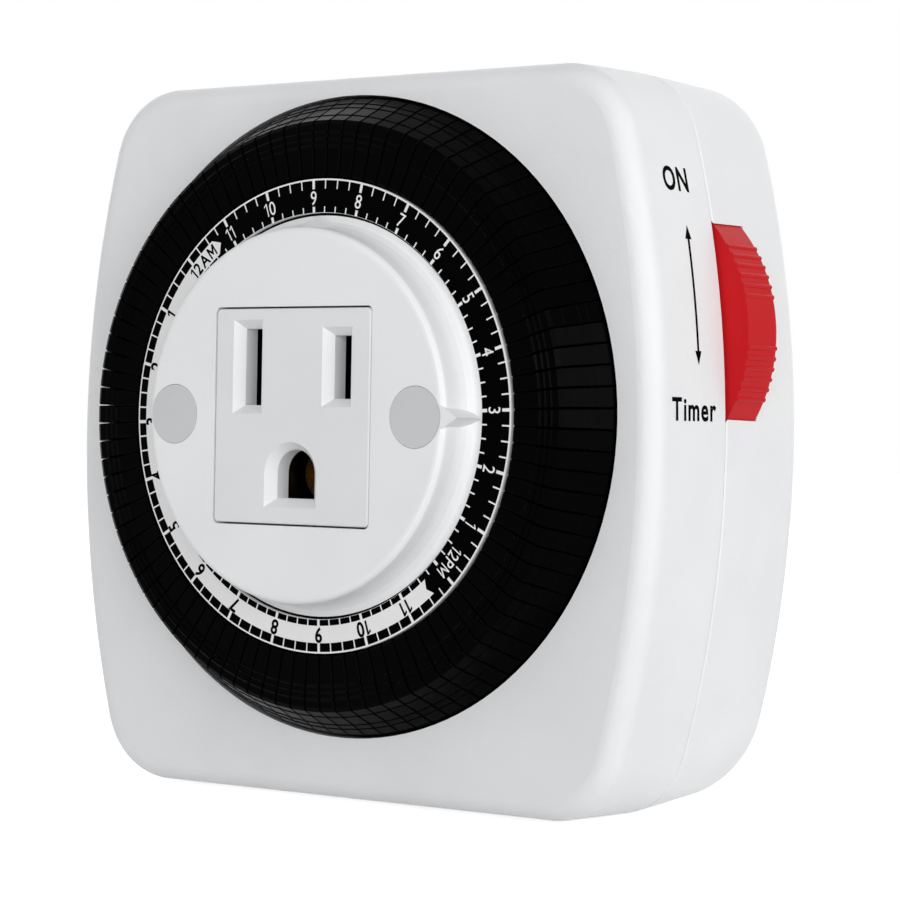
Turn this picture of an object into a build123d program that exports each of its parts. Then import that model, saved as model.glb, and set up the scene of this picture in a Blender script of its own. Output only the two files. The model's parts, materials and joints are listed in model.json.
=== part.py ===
from build123d import *
import math
import os

# Plug-in timer switch. Millimetres, +Z up, front towards -Y, rocker on the +X side.
# Origin: on the back face, midway between the two flat plug blades.

# Wiring device standard: two flat blades and a ground pin
BLADE_PITCH = 12.7
GROUND_DROP = 11.9
BLADE_WIDTH, BLADE_THICK, BLADE_OUT = 6.35, 1.52, 17.5
GROUND_R, GROUND_TAIL_R, GROUND_OUT = 2.38, 2.2, 20.6

# Case
DEPTH = 31.4
SEAM_BACK = 14.0          # seam behind the front plane
WALL = 2.2
HALF_FRONT, HALF_SEAM, HALF_BACK = 41.35, 41.65, 41.5
HALF_HEIGHT_LESS = 0.2    # the case is this much shorter than it is wide, each side
SIDE_BOW_R = 131.0        # left and right sides bow out on this radius
CORNER_FRONT, CORNER_BACK = (9.4, 9.4), (10.8, 14.2)   # upper and lower corners
ROUND_FRONT, ROUND_BACK = 2.4, 3.0
SEAM_BEVEL = 0.25
SEAM_GAP, SEAM_GAP_DEEP = 0.2, 0.7   # shadow groove between the two shells
Y_FRONT, Y_SEAM = -DEPTH, SEAM_BACK - DEPTH
DIAL_Z = -5.4             # dial axis below the blades
CASE_Z = DIAL_Z - 2.4     # middle of the case's height

# Dial
PINS = 96
PIN_GROUPS = 12
PIN_STEP = 360 / PINS
DIAL_TURN = 2.1           # where the printed 3 stands, degrees above the pointer
OPENING_R = 36.5
PIN_IN, PIN_TOP_R, PIN_FOOT_R = 26.85, 32.7, 36.15
PIN_GAP = 0.14            # between neighbours
PIN_TOP_Y = Y_FRONT - 5.6
PIN_FOOT_Y = Y_FRONT + 0.2
TAIL_IN, TAIL_OUT, TAIL_WIDE = 30.2, 33.2, 0.8
TAIL_END_Y = -24.2
SLOT_CLEAR = 0.12
RING_IN, RING_OUT, RING_THICK = 22.8, 26.62, 0.7
HUB_R, HUB_BORE = 26.6, 22.08
PLATE_R, PLATE_Y0, PLATE_Y1 = 36.3, -28.0, -25.6
SKIRT_R, SKIRT_BACK = 28.0, -21.6

# Socket boss
FACE_Y = Y_FRONT - 10.1
FACE_R, BOSS_R, FLARE_R, NECK_R = 20.2, 21.0, 22.5, 22.0
FACE_BEND = 0.8           # round between the face and the boss wall
BOSS_BORE = 20.0
BOSS_BACK = -25.0
INSERT_W, INSERT_H, INSERT_DROP = 22.0, 24.0, 0.1
INSERT_GAP_X, INSERT_GAP_Z = 0.15, 0.2
INSERT_BACK = -27.5
CHAMBER_Y = FACE_Y + 3.05  # the insert's back and the front of the contact carrier behind it
CHAMBER_HALF, GROUND_CHAMBER_R = 3.6, 3.9
CAP_X, CAP_R, CAP_THICK = 17.1, 3.35, 1.0
POINTER_HALF, POINTER_FOOT, POINTER_TIP = 2.25, 18.9, 22.7   # half width at the foot; radii
BUMP_TIP = 22.5           # the upper pointer is a bump whose flanks are tangent to the boss

# Gears: teeth and module
RING_TEETH, DIAL_PINION_TEETH, DIAL_MODULE = 64, 10, 0.8
CLUTCH_TEETH, MOTOR_PINION_TEETH, TRAIN_MODULE = 32, 10, 0.6
BACKLASH = 0.16
PRESSURE_ANGLE = math.radians(20)
PINION_ANGLE = 250        # where the dial pinion meets the ring gear, degrees
MOTOR_ANGLE = 180         # where the motor pinion meets the clutch gear
SPINDLE_R = 1.2

# Chassis, motor, posts
CHASSIS_Y0, CHASSIS_Y1 = -18.7, -17.2
MOTOR_R, MOTOR_FRONT, MOTOR_BACK = 14.0, -17.2, -6.8
MOTOR_SHEET = 0.8
SHAFT_R = 1.0
CORNER_POST_X, CORNER_POST_Z = 31.5, 31.5
POST_R, SCREW_R, SCREW_HEAD_R = 3.2, 1.25, 2.6
CHASSIS_POSTS = ((-34.0, -8.0), (8.0, 24.5), (33.5, -30.0))
SMALL_SCREW_R, SMALL_HEAD_R, SMALL_POST_R = 1.0, 1.9, 2.6

# Override rocker: a toothed disc sector
ROCKER_X, ROCKER_Z, ROCKER_R = 25.8, 4.2, 18.2
ROCKER_Y0, ROCKER_Y1 = -17.1, -11.0
ROCKER_HALF = 45.0        # half angle of the sector, degrees; its ends stay inside the wall
ROCKER_TILT = 5.0         # its middle leans with the bowed side
ROCKER_HUB_R, ROCKER_PIN_R = 3.4, 1.5
ROCKER_CLEAR = 0.12
RIDGE_FIRST, RIDGE_STEP, RIDGES = 9.0, 3.7, 6
RIDGE_R, RIDGE_SINK = 0.3, 0.1

# Switch
LEVER_X, LEVER_Y = 24.0, -20.4
NOSE_X, NOSE_Y, NOSE_R = 31.2, -23.5, 0.6
LEVER_PIN_R, LEVER_HUB_R = 0.8, 1.2
PUSHER_X, PUSHER_R = 26.6, 1.3
BLADE_X0, BLADE_X1 = 24.6, 28.6
BLADE_Y0, BLADE_Y1 = -9.1, -8.8
BEAD_Y, BEAD_Z, BEAD_R = -8.95, -19.6, 0.35   # rolled bead that the contact blade bends about
LINK_THICK = 0.6
BUS_Y0, BUS_Y1 = -6.8, -6.2
BASE_TOP_Z, BASE_LOW_Z = -17.0, -26.0
CONTACT_Z, CONTACT_R = -9.0, 1.3

LINE_X = BLADE_PITCH / 2
GROUND_Z = -GROUND_DROP
BUS_X = 33.0
BUS_Z0, BUS_Z1 = 8.0, 11.5


# --- helpers -------------------------------------------------------------------------------------

def block(x0, x1, y0, y1, z0, z1):
    """Box between two corners."""
    middle = Pos((x0 + x1) / 2, (y0 + y1) / 2, (z0 + z1) / 2)
    return middle * Box(abs(x1 - x0), abs(y1 - y0), abs(z1 - z0))


def rod(radius, y0, y1, x=0, z=0):
    """Cylinder along Y."""
    return Pos(x, (y0 + y1) / 2, z) * Rot(90, 0, 0) * Cylinder(radius, abs(y1 - y0))


def upright(radius, z0, z1, x, y):
    """Cylinder along Z."""
    return Pos(x, y, (z0 + z1) / 2) * Cylinder(radius, abs(z1 - z0))


def turned(points, x=0, z=DIAL_Z):
    """Solid of revolution about a line along Y; points are (radius, y)."""
    face = make_face(Polyline(*points, close=True))
    return Pos(x, 0, z) * revolve(face, Axis.Y)


def stand(face, y, x=0, z=0):
    """Face drawn as seen from the front, (x, z), stood up at y."""
    return Pos(x, y, z) * (Plane.XZ * face)


def slab(face, y0, y1):
    """Face drawn as seen from the front, extruded from y0 back to y1."""
    return extrude(stand(face, y1), y1 - y0)


def profile(points):
    """Closed face through points."""
    return make_face(Polyline(*points, close=True))


def polar(radius, degrees, x=0, z=0):
    """Point at an angle, seen from the front."""
    a = math.radians(degrees)
    return x + radius * math.cos(a), z + radius * math.sin(a)


def in_dial(shape, degrees):
    """Turn a shape drawn at 3 o'clock round the dial axis."""
    return Pos(0, 0, DIAL_Z) * Rot(0, -degrees, 0) * Pos(0, 0, -DIAL_Z) * shape


# --- case ----------------------------------------------------------------------------------------

def case_outline(half, corners, inset=0.0):
    """Rounded square with straight top and bottom, bowed sides, and (upper, lower) corner radii."""
    half = half - inset
    high = half - HALF_HEIGHT_LESS
    bow = SIDE_BOW_R - inset
    at_corner = half - (bow - math.sqrt(bow**2 - high**2))
    right = ThreePointArc((at_corner, -high), (half, 0), (at_corner, high))
    top = Line((at_corner, high), (-at_corner, high))
    left = ThreePointArc((-at_corner, high), (-half, 0), (-at_corner, -high))
    bottom = Line((-at_corner, -high), (at_corner, -high))
    face = make_face([right, top, left, bottom])
    upper, lower = corners
    face = fillet(face.vertices().group_by(Axis.Y)[-1], upper - inset)
    return fillet(face.vertices().group_by(Axis.Y)[0], lower - inset)


def case_body(sections):
    """Loft between outlines; each section is (y, half width, corners, inset)."""
    faces = [stand(case_outline(h, c, i), y, 0, CASE_Z) for y, h, c, i in sections]
    return loft(faces, ruled=True)


def corner_posts():
    """Screw post places in the four corners of the case."""
    return [(sx * CORNER_POST_X, CASE_Z + sz * CORNER_POST_Z) for sx in (-1, 1) for sz in (-1, 1)]


def front_shell():
    bevel = (Y_SEAM, HALF_SEAM, CORNER_FRONT, SEAM_BEVEL)
    seam = (Y_SEAM - SEAM_BEVEL, HALF_SEAM, CORNER_FRONT, 0)
    outer = case_body([bevel, seam, (Y_FRONT, HALF_FRONT, CORNER_FRONT, 0)])
    outer = fillet(outer.edges().group_by(Axis.Y)[0], ROUND_FRONT)
    inner = case_body([(Y_SEAM, HALF_SEAM, CORNER_FRONT, WALL),
                       (Y_FRONT + WALL, HALF_FRONT, CORNER_FRONT, WALL)])
    shell = outer - inner - rod(OPENING_R, Y_FRONT - 1, Y_FRONT + WALL + 1, 0, DIAL_Z)
    for x, z in corner_posts():
        post = rod(POST_R, Y_FRONT + WALL - 0.5, Y_SEAM - 0.1, x, z)
        shell += post - rod(SCREW_R, Y_SEAM - 10, Y_SEAM, x, z)
    return shell - seam_ring(-1, SEAM_GAP_DEEP, Y_SEAM - SEAM_GAP / 2, Y_SEAM + 1)


def rocker_space(radius, y0, y1, half_angle):
    """Sector of a disc about the rocker's pivot, opening towards +X."""
    far = radius + 12
    start = ROCKER_TILT - half_angle
    wedge = profile([(ROCKER_X, ROCKER_Z)] + [
        polar(far, start + k * half_angle, ROCKER_X, ROCKER_Z) for k in range(3)])
    return slab(Pos(ROCKER_X, ROCKER_Z) * Circle(radius) & wedge, y0, y1)


def seam_ring(outer_inset, inner_inset, y0, y1):
    """Thin wall that follows the case's outline at the seam."""
    outside = case_outline(HALF_SEAM, CORNER_FRONT, outer_inset)
    inside = case_outline(HALF_SEAM, CORNER_FRONT, inner_inset)
    return slab(Pos(0, CASE_Z) * (outside - inside), y0, y1)


def rear_shell():
    bevel = (Y_SEAM, HALF_SEAM, CORNER_FRONT, SEAM_BEVEL)
    seam = (Y_SEAM + SEAM_BEVEL, HALF_SEAM, CORNER_FRONT, 0)
    outer = case_body([(0, HALF_BACK, CORNER_BACK, 0), seam, bevel])
    outer = fillet(outer.edges().group_by(Axis.Y)[-1], ROUND_BACK)
    inner = case_body([(-WALL, HALF_BACK, CORNER_BACK, WALL), (Y_SEAM, HALF_SEAM, CORNER_FRONT, WALL)])
    shell = outer - inner - seam_ring(-1, SEAM_GAP_DEEP, Y_SEAM - 1, Y_SEAM + SEAM_GAP / 2)
    shell += seam_ring(WALL - 0.5, WALL + 1.1, Y_SEAM, Y_SEAM + 1.8)
    lip = seam_ring(WALL + 0.12, WALL + 1.1, Y_SEAM - 1.6, Y_SEAM + 0.5)
    for x, z in corner_posts():
        lip -= rod(POST_R + 0.2, Y_SEAM - 2, Y_SEAM, x, z)
    shell += lip
    shell -= rocker_space(ROCKER_R + ROCKER_CLEAR, Y_SEAM - 3, ROCKER_Y1 + 0.2, ROCKER_HALF + 12)
    for x, z in corner_posts():
        shell += rod(POST_R, Y_SEAM, -4, x, z) + rod(POST_R + 0.9, -5.4, -WALL + 0.5, x, z)
        shell -= rod(SCREW_R + 0.3, Y_SEAM, 0, x, z) + rod(SCREW_HEAD_R + 0.4, -4.0, 1, x, z)
    for side in (-1, 1):
        shell += rod(2.9, BOSS_BACK, -WALL + 0.5, side * CAP_X, DIAL_Z)
        shell -= rod(SCREW_R, BOSS_BACK, -10, side * CAP_X, DIAL_Z)
        half_thick, half_wide = BLADE_THICK / 2 + 0.05, BLADE_WIDTH / 2 + 0.05
        blade_x = side * LINE_X
        shell -= block(blade_x - half_thick, blade_x + half_thick, -WALL - 1, 1, -half_wide, half_wide)
    for x, z in CHASSIS_POSTS:
        post = rod(SMALL_POST_R, CHASSIS_Y1, -WALL + 0.5, x, z)
        shell += post - rod(SMALL_SCREW_R, CHASSIS_Y1, -10, x, z)
    shell += rod(3.0, ROCKER_Y1 + 0.1, -WALL + 0.5, ROCKER_X, ROCKER_Z)
    shell -= rod(ROCKER_PIN_R, ROCKER_Y1, -6, ROCKER_X, ROCKER_Z)
    return shell - rod(GROUND_TAIL_R + 0.03, -WALL - 1, 1, 0, GROUND_Z)


# --- socket --------------------------------------------------------------------------------------

def socket_boss():
    bend = [(FACE_R + FACE_BEND * math.sin(a), FACE_Y + FACE_BEND * (1 - math.cos(a)))
            for a in (math.radians(22.5 * k) for k in range(5))]
    flare = [(BOSS_R, Y_FRONT - 7.6), (BOSS_R + 0.1, Y_FRONT - 7.0), (BOSS_R + 0.35, Y_FRONT - 6.3),
             (BOSS_R + 0.75, Y_FRONT - 5.7), (BOSS_R + 1.2, Y_FRONT - 5.3), (FLARE_R, Y_FRONT - 5.1)]
    boss = turned([(0, FACE_Y), *bend, *flare, (NECK_R, Y_FRONT - 5.1), (NECK_R, BOSS_BACK), (0, BOSS_BACK)])
    wedge = profile([(POINTER_FOOT, -POINTER_HALF), (POINTER_TIP, 0), (POINTER_FOOT, POINTER_HALF)])
    boss += Pos(0, 0, DIAL_Z) * slab(wedge, FACE_Y + 0.03, PIN_TOP_Y - 0.15)
    touch = math.acos(BOSS_R / BUMP_TIP)
    x, z = BOSS_R * math.sin(touch), BOSS_R * math.cos(touch)
    start = [(-x + 1, 12), (-x + 0.5, z - 1), (0, BOSS_R - 0.05), (x - 0.5, z - 1), (x - 1, 12)]
    end = [(-x + 1, 12), (-x, z), (0, BUMP_TIP), (x, z), (x - 1, 12)]
    sections = ((start, FACE_Y + 1.0), (end, Y_FRONT - 5.3))
    boss += loft([stand(profile(corners), y, 0, DIAL_Z) for corners, y in sections], ruled=True)
    boss -= rod(BOSS_BORE, FACE_Y + 2.0, BOSS_BACK, 0, DIAL_Z)
    hole = RectangleRounded(INSERT_W + 2 * INSERT_GAP_X, INSERT_H + 2 * INSERT_GAP_Z, 0.7)
    boss -= slab(Pos(0, DIAL_Z - INSERT_DROP) * hole, FACE_Y - 1, BOSS_BACK)
    for side in (-1, 1):
        x = side * CAP_X
        boss += rod(4.0, FACE_Y + 1, BOSS_BACK, x, DIAL_Z) & rod(BOSS_R - 0.1, FACE_Y, BOSS_BACK, 0, DIAL_Z)
        boss -= rod(CAP_R + 0.05, FACE_Y - 1, FACE_Y + CAP_THICK + 0.1, x, DIAL_Z)
        boss -= rod(SCREW_HEAD_R, FACE_Y, -34.0, x, DIAL_Z)
        boss -= rod(SCREW_R + 0.15, -34.0, BOSS_BACK, x, DIAL_Z)
    return boss


def screw_caps():
    return Compound(children=[rod(CAP_R, FACE_Y, FACE_Y + CAP_THICK, s * CAP_X, DIAL_Z) for s in (-1, 1)])


def screw(x, z, head_y, end_y, radius, head_r, head_high):
    """Pan-head screw along Y with a cross recess; the head's underside is at head_y."""
    side = 1 if end_y < head_y else -1
    body = rod(radius, head_y, end_y, x, z) + rod(head_r, head_y, head_y + side * head_high, x, z)
    top = head_y + side * head_high
    deep = top - side * head_high * 0.6
    arm = head_r * 0.6
    body -= block(x - arm, x + arm, top, deep, z - 0.25, z + 0.25)
    return body - block(x - 0.25, x + 0.25, top, deep, z - arm, z + arm)


def boss_screws():
    return Compound(children=[screw(s * CAP_X, DIAL_Z, -34.0, -12.0, SCREW_R, 2.4, 1.6) for s in (-1, 1)])


def case_screws():
    return Compound(children=[screw(x, z, -4.0, Y_SEAM - 8, SCREW_R, 2.6, 1.8) for x, z in corner_posts()])


def bevelled_slot(x, z, wide, high, rim):
    """Slot through the insert with a sloping rim on the face."""
    cut = block(x - wide / 2, x + wide / 2, FACE_Y - 1, INSERT_BACK + 1, z - high / 2, z + high / 2)
    mouth = stand(Rectangle(wide + 2 * rim, high + 2 * rim), FACE_Y, x, z)
    floor = stand(Rectangle(wide, high), FACE_Y + 1.1, x, z)
    return cut + loft([mouth, floor])


def arch(wide, high, x=0, z=0):
    """Flat bottom and round top."""
    r = wide / 2
    low = z - high / 2
    spring = z + high / 2 - r
    arc = ThreePointArc((x + r, spring), (x, spring + r), (x - r, spring))
    sides = Polyline((x - r, spring), (x - r, low), (x + r, low), (x + r, spring))
    return make_face([arc, sides])


def socket_insert():
    middle = DIAL_Z - INSERT_DROP
    body = slab(Pos(0, middle) * RectangleRounded(INSERT_W, INSERT_H, 0.6), FACE_Y, CHAMBER_Y)
    body = fillet(body.edges().group_by(Axis.Y)[0], 0.25)
    body -= bevelled_slot(-LINE_X, 0, 2.3, 8.6, 0.96)
    body -= bevelled_slot(LINE_X, 0, 2.3, 7.0, 0.92)
    ground = GROUND_Z
    body -= slab(arch(5.3, 5.5, 0, ground), FACE_Y - 1, INSERT_BACK)
    mouth = stand(arch(7.4, 7.3, 0, ground - 0.1), FACE_Y)
    floor = stand(arch(5.3, 5.5, 0, ground), FACE_Y + 1.1)
    return body - loft([mouth, floor])


def contact_carrier():
    """Dark block behind the insert, with a chamber for each contact."""
    outline = Pos(0, DIAL_Z - INSERT_DROP) * RectangleRounded(INSERT_W, INSERT_H, 0.6)
    body = slab(outline, CHAMBER_Y, INSERT_BACK)
    for x in (-LINE_X, LINE_X):
        body -= block(x - CHAMBER_HALF, x + CHAMBER_HALF, CHAMBER_Y, INSERT_BACK, -4.6, 4.6)
    return body - rod(GROUND_CHAMBER_R, CHAMBER_Y, INSERT_BACK, 0, GROUND_Z)


def line_contact(x):
    """Folded contact: two leaves with flared mouths, joined at the back."""
    front, back = CHAMBER_Y + 2.7, -26.4
    leaf = 0.5
    gap = 0.8
    body = block(x - gap - leaf, x + gap + leaf, back, back + 0.6, -3.0, 3.0)
    for side in (-1, 1):
        near, far = x + side * gap, x + side * (gap + leaf)
        points = [(near, back), (far, back), (far, front + 1.5), (far + side * 0.4, front),
                  (near + side * 0.4, front), (near, front + 1.5)]
        body += Pos(0, 0, -3.0) * extrude(Plane.XY * profile(points), 6.0)
    return body


def neutral_contact():
    return line_contact(-LINE_X) + block(-LINE_X - 0.4, -LINE_X + 0.4, -25.8, -9.0, -3.0, 3.0)


def hot_contact():
    riser = [(-25.8, -3.0), (-25.8, 3.0), (-16.0, 3.0), (-12.0, BUS_Z1), (BUS_Y1, BUS_Z1),
             (BUS_Y1, BUS_Z0), (-10.5, BUS_Z0), (-13.5, -3.0)]
    plate = extrude(Plane.YZ * profile(riser), 0.8)
    return line_contact(LINE_X) + Pos(LINE_X - 0.4, 0, 0) * plate


def ground_contact():
    front = CHAMBER_Y + 3.6
    tube = rod(3.1, front, -24.6, 0, GROUND_Z) - rod(2.5, front, -25.6, 0, GROUND_Z)
    tube -= block(-0.4, 0.4, front, -27.0, GROUND_Z, GROUND_Z + 4)
    return tube + rod(1.6, -24.7, -9.0, 0, GROUND_Z)


def flat_blade(x, tail_y):
    """Plug blade with a rounded-off tip and the usual hole."""
    tip = BLADE_OUT
    side = [(tail_y, -BLADE_WIDTH / 2), (tip - 1.6, -BLADE_WIDTH / 2), (tip, -BLADE_WIDTH / 2 + 1.4),
            (tip, BLADE_WIDTH / 2 - 1.4), (tip - 1.6, BLADE_WIDTH / 2), (tail_y, BLADE_WIDTH / 2)]
    body = Pos(x - BLADE_THICK / 2, 0, 0) * extrude(Plane.YZ * profile(side), BLADE_THICK)
    hole = Pos(x, BLADE_OUT - 5.8, 0) * Rot(0, 90, 0) * Cylinder(1.6, 4)
    return body - hole


def neutral_blade():
    return flat_blade(-LINE_X, -9.0)


def hot_blade():
    return flat_blade(LINE_X, BLADE_Y1)


def hot_link():
    """Strip from the hot blade to the clamped root of the moving contact blade."""
    y0, y1 = BLADE_Y1, BLADE_Y1 + LINK_THICK
    low, high = BASE_LOW_Z + 2, BEAD_Z - BEAD_R - 0.05
    left = LINE_X + BLADE_THICK / 2
    drop = block(left, left + 2.9, y0, y1, low, 3.0)
    across = block(left, BLADE_X1, y0, y1, low, high)
    return drop + across + block(BLADE_X0, BLADE_X1, BLADE_Y0, BLADE_Y1, low, high)


def ground_pin():
    body = rod(GROUND_R, 0, GROUND_OUT, 0, GROUND_Z) + rod(GROUND_TAIL_R, -9.0, 0, 0, GROUND_Z)
    return fillet(body.edges().filter_by(GeomType.CIRCLE).sort_by(Axis.Y)[-1], 1.6)


def prong_holder():
    body = block(-10.5, 10.5, -6.0, -WALL, -17.0, 5.5)
    for x in (-LINE_X, LINE_X):
        body -= block(x - BLADE_THICK / 2, x + BLADE_THICK / 2, -7, 0, -BLADE_WIDTH / 2, BLADE_WIDTH / 2)
    return body - rod(GROUND_TAIL_R, -7, 0, 0, GROUND_Z)


# --- dial ----------------------------------------------------------------------------------------

def tooth_half_angle(radius, pitch_r, thick):
    """Half the tooth's angle at a radius, on a 20 degree involute."""
    base = pitch_r * math.cos(PRESSURE_ANGLE)
    alpha = math.acos(min(1.0, base / max(radius, base)))
    involute = math.tan(alpha) - alpha
    at_pitch = math.tan(PRESSURE_ANGLE) - PRESSURE_ANGLE
    return thick / (2 * pitch_r) + at_pitch - involute


def gear_face(teeth, module, thick_less, addendum, dedendum, turn=0.0):
    """Spur gear outline with a tooth centred at the angle turn."""
    pitch_r = teeth * module / 2
    thick = math.pi * module / 2 - thick_less
    low, high = pitch_r - dedendum * module, pitch_r + addendum * module
    base = max(low, pitch_r * math.cos(PRESSURE_ANGLE)) + 0.01
    radii = sorted({low, base, pitch_r, (pitch_r + high) / 2, high})
    points = []
    for k in range(teeth):
        middle = turn + k * 360 / teeth
        halves = [(r, math.degrees(tooth_half_angle(r, pitch_r, thick))) for r in radii]
        points += [polar(r, middle - h) for r, h in halves]
        points += [polar(r, middle + h) for r, h in reversed(halves)]
    return profile(points)


def pinion_place():
    reach = (RING_TEETH - DIAL_PINION_TEETH) * DIAL_MODULE / 2
    return polar(reach, PINION_ANGLE, 0, DIAL_Z)


def motor_place():
    reach = (CLUTCH_TEETH + MOTOR_PINION_TEETH) * TRAIN_MODULE / 2
    return polar(reach, MOTOR_ANGLE, *pinion_place())


def dial_carrier():
    ring = turned([(HUB_BORE, PIN_TOP_Y + RING_THICK), (HUB_R, PIN_TOP_Y + RING_THICK), (HUB_R, PLATE_Y0),
                   (PLATE_R, PLATE_Y0), (PLATE_R, PLATE_Y1), (SKIRT_R, PLATE_Y1), (SKIRT_R, SKIRT_BACK),
                   (HUB_BORE, SKIRT_BACK)])
    teeth = gear_face(RING_TEETH, DIAL_MODULE, -BACKLASH, 1.0, 0.75, PINION_ANGLE)
    ring -= slab(Pos(0, DIAL_Z) * teeth, -24.8, SKIRT_BACK)
    slot = block(TAIL_IN - SLOT_CLEAR, TAIL_OUT + SLOT_CLEAR, PLATE_Y0 - 0.5, PLATE_Y1 + 0.5,
                 DIAL_Z - TAIL_WIDE / 2 - SLOT_CLEAR, DIAL_Z + TAIL_WIDE / 2 + SLOT_CLEAR)
    slots = [in_dial(slot, DIAL_TURN + (k + 0.5) * PIN_STEP) for k in range(PINS)]
    return ring - slots


def number_ring():
    y = PIN_TOP_Y
    return turned([(RING_IN, y), (RING_OUT, y), (RING_OUT, y + RING_THICK), (RING_IN, y + RING_THICK)])


def pin():
    """One quarter-hour pin, drawn at 3 o'clock: a wedge head with a sloping foot, and a tail."""
    top, foot = PIN_TOP_Y, PIN_FOOT_Y
    side = [(PIN_IN, foot), (PIN_IN, top), (PIN_TOP_R, top), (33.3, top + 1.0), (34.0, top + 2.3),
            (34.9, top + 3.6), (PIN_FOOT_R, top + 5.5), (PIN_FOOT_R, foot)]
    half = math.radians(PIN_STEP / 2)

    def flank(way):
        points = [(r, y, way * (r * math.tan(half) - PIN_GAP / 2)) for r, y in side]
        return make_face(Polyline(*points, close=True))

    head = Solid.make_loft([flank(-1).wire(), flank(1).wire()], ruled=True)
    tail = block(TAIL_IN, TAIL_OUT, foot - 0.5, TAIL_END_Y, -TAIL_WIDE / 2, TAIL_WIDE / 2)
    return Pos(0, 0, DIAL_Z) * (head + tail)


def pin_group(index, one):
    """The eight pins, four each side of the two-hour mark at this place."""
    each = PINS // PIN_GROUPS
    start = index * each - each / 2
    turns = [DIAL_TURN + (start + k + 0.5) * PIN_STEP for k in range(each)]
    return Compound(children=[in_dial(one, t) for t in turns])


# --- gear train and motor ------------------------------------------------------------------------

def dial_pinion():
    x, z = pinion_place()
    teeth = gear_face(DIAL_PINION_TEETH, DIAL_MODULE, BACKLASH, 0.8, 1.05, PINION_ANGLE)
    body = slab(Pos(x, z) * teeth, -24.6, -21.4) + rod(2.6, -21.5, -19.0, x, z)
    return body - rod(SPINDLE_R + 0.04, -25, -18.9, x, z)


def clutch_gear():
    x, z = pinion_place()
    teeth = gear_face(CLUTCH_TEETH, TRAIN_MODULE, BACKLASH, 0.75, 1.1, MOTOR_ANGLE)
    return slab(Pos(x, z) * teeth, -20.7, -19.3) - rod(2.6, -22, -18, x, z)


def clutch_spring():
    x, z = pinion_place()
    return rod(3.9, -21.4, -20.7, x, z) - rod(2.6, -22, -20, x, z)


def gear_spindle():
    x, z = pinion_place()
    return rod(SPINDLE_R, -24.7, CHASSIS_Y1, x, z)


def motor_ears():
    """Screw places on the motor's two ears."""
    x, z = motor_place()
    return [polar(16.6, a, x, z) for a in (135, 300)]


def motor_can():
    x, z = motor_place()
    front = slab(Pos(x, z) * Circle(MOTOR_R), MOTOR_FRONT, MOTOR_BACK)
    for ex, ez in motor_ears():
        front += rod(2.6, MOTOR_FRONT, MOTOR_FRONT + MOTOR_SHEET, ex, ez)
        front += rod(2.6, MOTOR_FRONT, MOTOR_FRONT + MOTOR_SHEET, (ex * 3 + x) / 4, (ez * 3 + z) / 4)
        front -= rod(SMALL_SCREW_R, MOTOR_FRONT - 1, MOTOR_FRONT + 2, ex, ez)
    front -= rod(MOTOR_R - MOTOR_SHEET, MOTOR_FRONT + MOTOR_SHEET, MOTOR_BACK, x, z)
    front -= block(x + 11, x + 15, -14.2, -9.8, z - 3.4, z + 3.4)
    return front - rod(SHAFT_R + 0.05, MOTOR_FRONT - 1, MOTOR_BACK, x, z)


def motor_cover():
    x, z = motor_place()
    back = MOTOR_BACK
    plate = rod(MOTOR_R - MOTOR_SHEET - 0.05, back - MOTOR_SHEET, back, x, z)
    return plate - rod(SHAFT_R + 0.05, back - 2, back - 0.3, x, z)


def motor_coil():
    x, z = motor_place()
    bobbin = turned([(9.4, -15.9), (13.0, -15.9), (13.0, -14.9), (12.2, -14.9), (12.2, -9.4), (13.0, -9.4),
                     (13.0, -8.4), (9.4, -8.4)], x, z)
    return bobbin


def motor_rotor():
    x, z = motor_place()
    magnet = rod(8.6, -15.0, -9.0, x, z)
    shaft = rod(SHAFT_R, -21.0, -7.4, x, z)
    return magnet + shaft


def motor_pinion():
    x, z = motor_place()
    turn = MOTOR_ANGLE + 180 + 180 / MOTOR_PINION_TEETH
    teeth = gear_face(MOTOR_PINION_TEETH, TRAIN_MODULE, BACKLASH, 0.8, 1.05, turn)
    return slab(Pos(x, z) * teeth, -20.9, -19.2) - rod(SHAFT_R, -22, -18, x, z)


def lead(points, radius=0.55):
    """Insulated lead along straight runs with rounded turns."""
    path = FilletPolyline(*points, radius=1.6)
    start = Plane(origin=path @ 0, z_dir=path % 0)
    return sweep(start * Circle(radius), path=path)


def motor_leads():
    x, z = motor_place()
    start = x + 12.3
    left = lead([(start, -11.5, z + 2.4), (-5.3, -11.5, z + 2.4), (-5.3, -11.5, -1.0)], 0.5)
    low = lead([(start, -13.0, z - 2.4), (7.8, -13.0, z - 2.4), (7.8, -9.4, -22.0), (7.8, -9.4, -17.0)], 0.5)
    return Compound(children=[left, low])


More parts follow.
